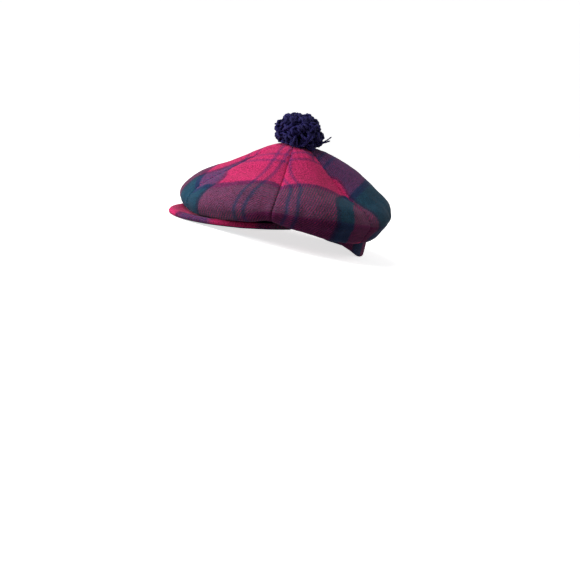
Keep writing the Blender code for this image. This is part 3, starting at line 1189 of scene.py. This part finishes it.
def strand_path(rng, outward, reach):
    """One strand's middle line: out of the heart with a wave in it, then over in a curl."""
    side = np.cross(outward, rng.normal(size=3))
    side /= np.linalg.norm(side)
    other = np.cross(outward, side)
    curl = rng.uniform(*CURL_RADIUS)
    turned = rng.uniform(*CURL_TURN) * math.pi
    stem = int(STRAND_STEPS * STEM_SHARE)
    share = np.linspace(0, 1, stem, endpoint=False)[:, None]
    around = np.linspace(0, turned, STRAND_STEPS - stem)[:, None]
    top = reach - curl
    wave = rng.uniform(*STEM_WAVE) * np.sin(2 * math.pi * share * rng.uniform(*STEM_WAVES))
    rise = outward * (HEART + (top - HEART) * share) + other * wave
    drift = rng.uniform(-CURL_DRIFT, CURL_DRIFT)
    over = outward * (top + curl * np.sin(around)) + side * curl * (1 - np.cos(around))
    over = over + other * drift * (around / math.pi) ** 2
    return np.concatenate((rise, over))


print("points of a strand:", len(stray_path(*STRAYS[0][:3])))


# %% Yarn tube
def yarn_tube(path, radius):
    """Points, faces and lengths of a two-ply tube along a path, with closed, tapered ends."""
    steps = len(path)
    ahead = np.gradient(path, axis=0)
    ahead /= np.linalg.norm(ahead, axis=1)[:, None]
    side = np.cross(ahead[0], (0.31, 0.57, 0.76))
    length = length_along(path)
    points = []
    for step in range(steps):
        side = side - ahead[step] * (side @ ahead[step])
        side /= np.linalg.norm(side)
        other = np.cross(ahead[step], side)
        from_end = min(step, steps - 1 - step, len(END_TAPER) - 1)
        twist = 2 * math.pi * length[step] / TWIST_LENGTH
        for index in range(STRAND_SIDES):
            turn = 2 * math.pi * index / STRAND_SIDES
            lobe = 1 + PLY_LOBE * math.cos(2 * (turn - twist))
            spoke = side * math.cos(turn) + other * math.sin(turn)
            points.append(path[step] + spoke * radius * END_TAPER[from_end] * lobe)
    faces = grid_faces(steps, STRAND_SIDES, True).tolist()
    last = (steps - 1) * STRAND_SIDES
    faces.append(list(range(STRAND_SIDES))[::-1])
    faces.append(list(range(last, last + STRAND_SIDES)))
    return points, faces, length


print("a ply turns once in", round(TWIST_LENGTH / MM), "mm of yarn")

# %% Yarn mesh
TOP_ROWS = 60


def crown_top(points):
    """Height of the crown under points near its top."""
    line, _ = crown_line(90)
    reach = np.hypot(points[..., 0], points[..., 1] - BAND_MIDDLE - CROWN[0][1] * MM)
    return np.interp(reach, line[:TOP_ROWS, 1], line[:TOP_ROWS, 2])


class YarnMesh:
    """Collects yarn tubes, and the length along the yarn at each of their points."""

    def __init__(self):
        self.points = []
        self.faces = []
        self.places = []

    def lay(self, path, radius, offset):
        """Adds a tube, lifted off the crown. The offset gives it fibres of its own."""
        path[:, 2] = np.maximum(path[:, 2], crown_top(path) + radius + GAP)
        start = len(self.points)
        points, faces, length = yarn_tube(path, radius)
        self.points.extend(tuple(point) for point in points)
        self.faces.extend([corner + start for corner in face] for face in faces)
        for so_far in length:
            for side in range(STRAND_SIDES):
                self.places.append((so_far + offset, side / STRAND_SIDES))

    def finish(self, name, look):
        mesh = bpy.data.meshes.new(name)
        mesh.from_pydata(self.points, [], self.faces)
        lay_map(mesh, "Yarn", np.array(self.places))
        mesh.shade_smooth()
        mesh.materials.append(look)
        return add_object(name, mesh)


print("the crown's top is", round(float(crown_top(POMPOM_MIDDLE)) / MM), "mm over the floor")


# %% Pompom shape
def make_pompom(look):
    """Strands aimed evenly all around and down to the crown, and a few strays."""
    rng = np.random.default_rng(POMPOM_SEED)
    yarn = YarnMesh()
    for index in range(STRANDS):
        up = 1 - (1 - LOWEST_AIM) * (index + 0.5) / STRANDS
        turn = index * GOLDEN_TURN
        flat = math.sqrt(1 - up * up)
        outward = np.array((flat * math.cos(turn), flat * math.sin(turn), up))
        outward = outward + rng.normal(size=3) * AIM_SPREAD
        outward = outward / np.linalg.norm(outward)
        reach = np.linalg.norm(outward * POMPOM_REACH) * rng.uniform(*REACH_RANGE)
        path = strand_path(rng, outward, reach) + POMPOM_MIDDLE
        yarn.lay(path, YARN_RADIUS * rng.uniform(*THICKNESS_RANGE), rng.uniform(0, 1))
    for start, end, sag, radius in STRAYS:
        yarn.lay(stray_path(start, end, sag) * MM + POMPOM_MIDDLE, radius * MM, 0.5)
    return yarn.finish("yarn_pompom", look)


print("each strand starts", round(HEART / MM), "mm from the pompom's middle")

# %% [markdown]
# ## Navy yarn
#
# The yarn is nearly black with a blue sheen where the light grazes it. It could be one dark blue,
# but then the curls would melt into each other. So fine noise along the strand gives the loose
# fibres, slow noise makes some curls lighter than others, and the sheen picks out their edges.

# %% Yarn material
YARN_NAVY = (0.008, 0.0045, 0.070)
FIBRE_SCALE = 1100
FIBRE_STRETCH = (1, 0.004, 1)
FIBRE_LIGHT = 1.2
PATCH_SCALE = 90
PATCH_LIGHT = 1.7
LEAST_LIGHT = 0.1
SPECK_SCALE = 2400
YARN_RELIEF = {"Strength": 0.7, "Distance": 0.5 * MM}


def navy_yarn():
    g = Graph("navy pompom yarn")
    where = g.add("ShaderNodeTexCoord", output="Object")
    yarn = g.add("ShaderNodeUVMap", {"uv_map": "Yarn"})
    fibres = g.noise(yarn, FIBRE_SCALE, 3.0, FIBRE_STRETCH)
    patches = g.noise(where, PATCH_SCALE, 3.0)
    specks = g.noise(where, SPECK_SCALE, 3.0)
    light = LEAST_LIGHT + (fibres - 0.5) * FIBRE_LIGHT + patches * PATCH_LIGHT
    bump = g.add("ShaderNodeBump", None, {**YARN_RELIEF, "Height": fibres + specks})
    colour = g.tint(YARN_NAVY, light)
    g.sockets(Base_Color=colour, Normal=bump, Roughness=0.55 + specks * 0.3)
    g.sockets(Sheen_Weight=0.12, Sheen_Roughness=0.35, Sheen_Tint=(0.25, 0.22, 0.95, 1))
    g.sockets(Specular_IOR_Level=0.2)
    return g.material


pompom = make_pompom(navy_yarn())
stand_for(pompom, "pompom")
print("pompom faces:", len(pompom.data.polygons))

# %% [markdown]
# ## Sizes kept
#
# The finished cap is built to fill the same box as its solids, apart from the little that soft cloth
# stands proud.
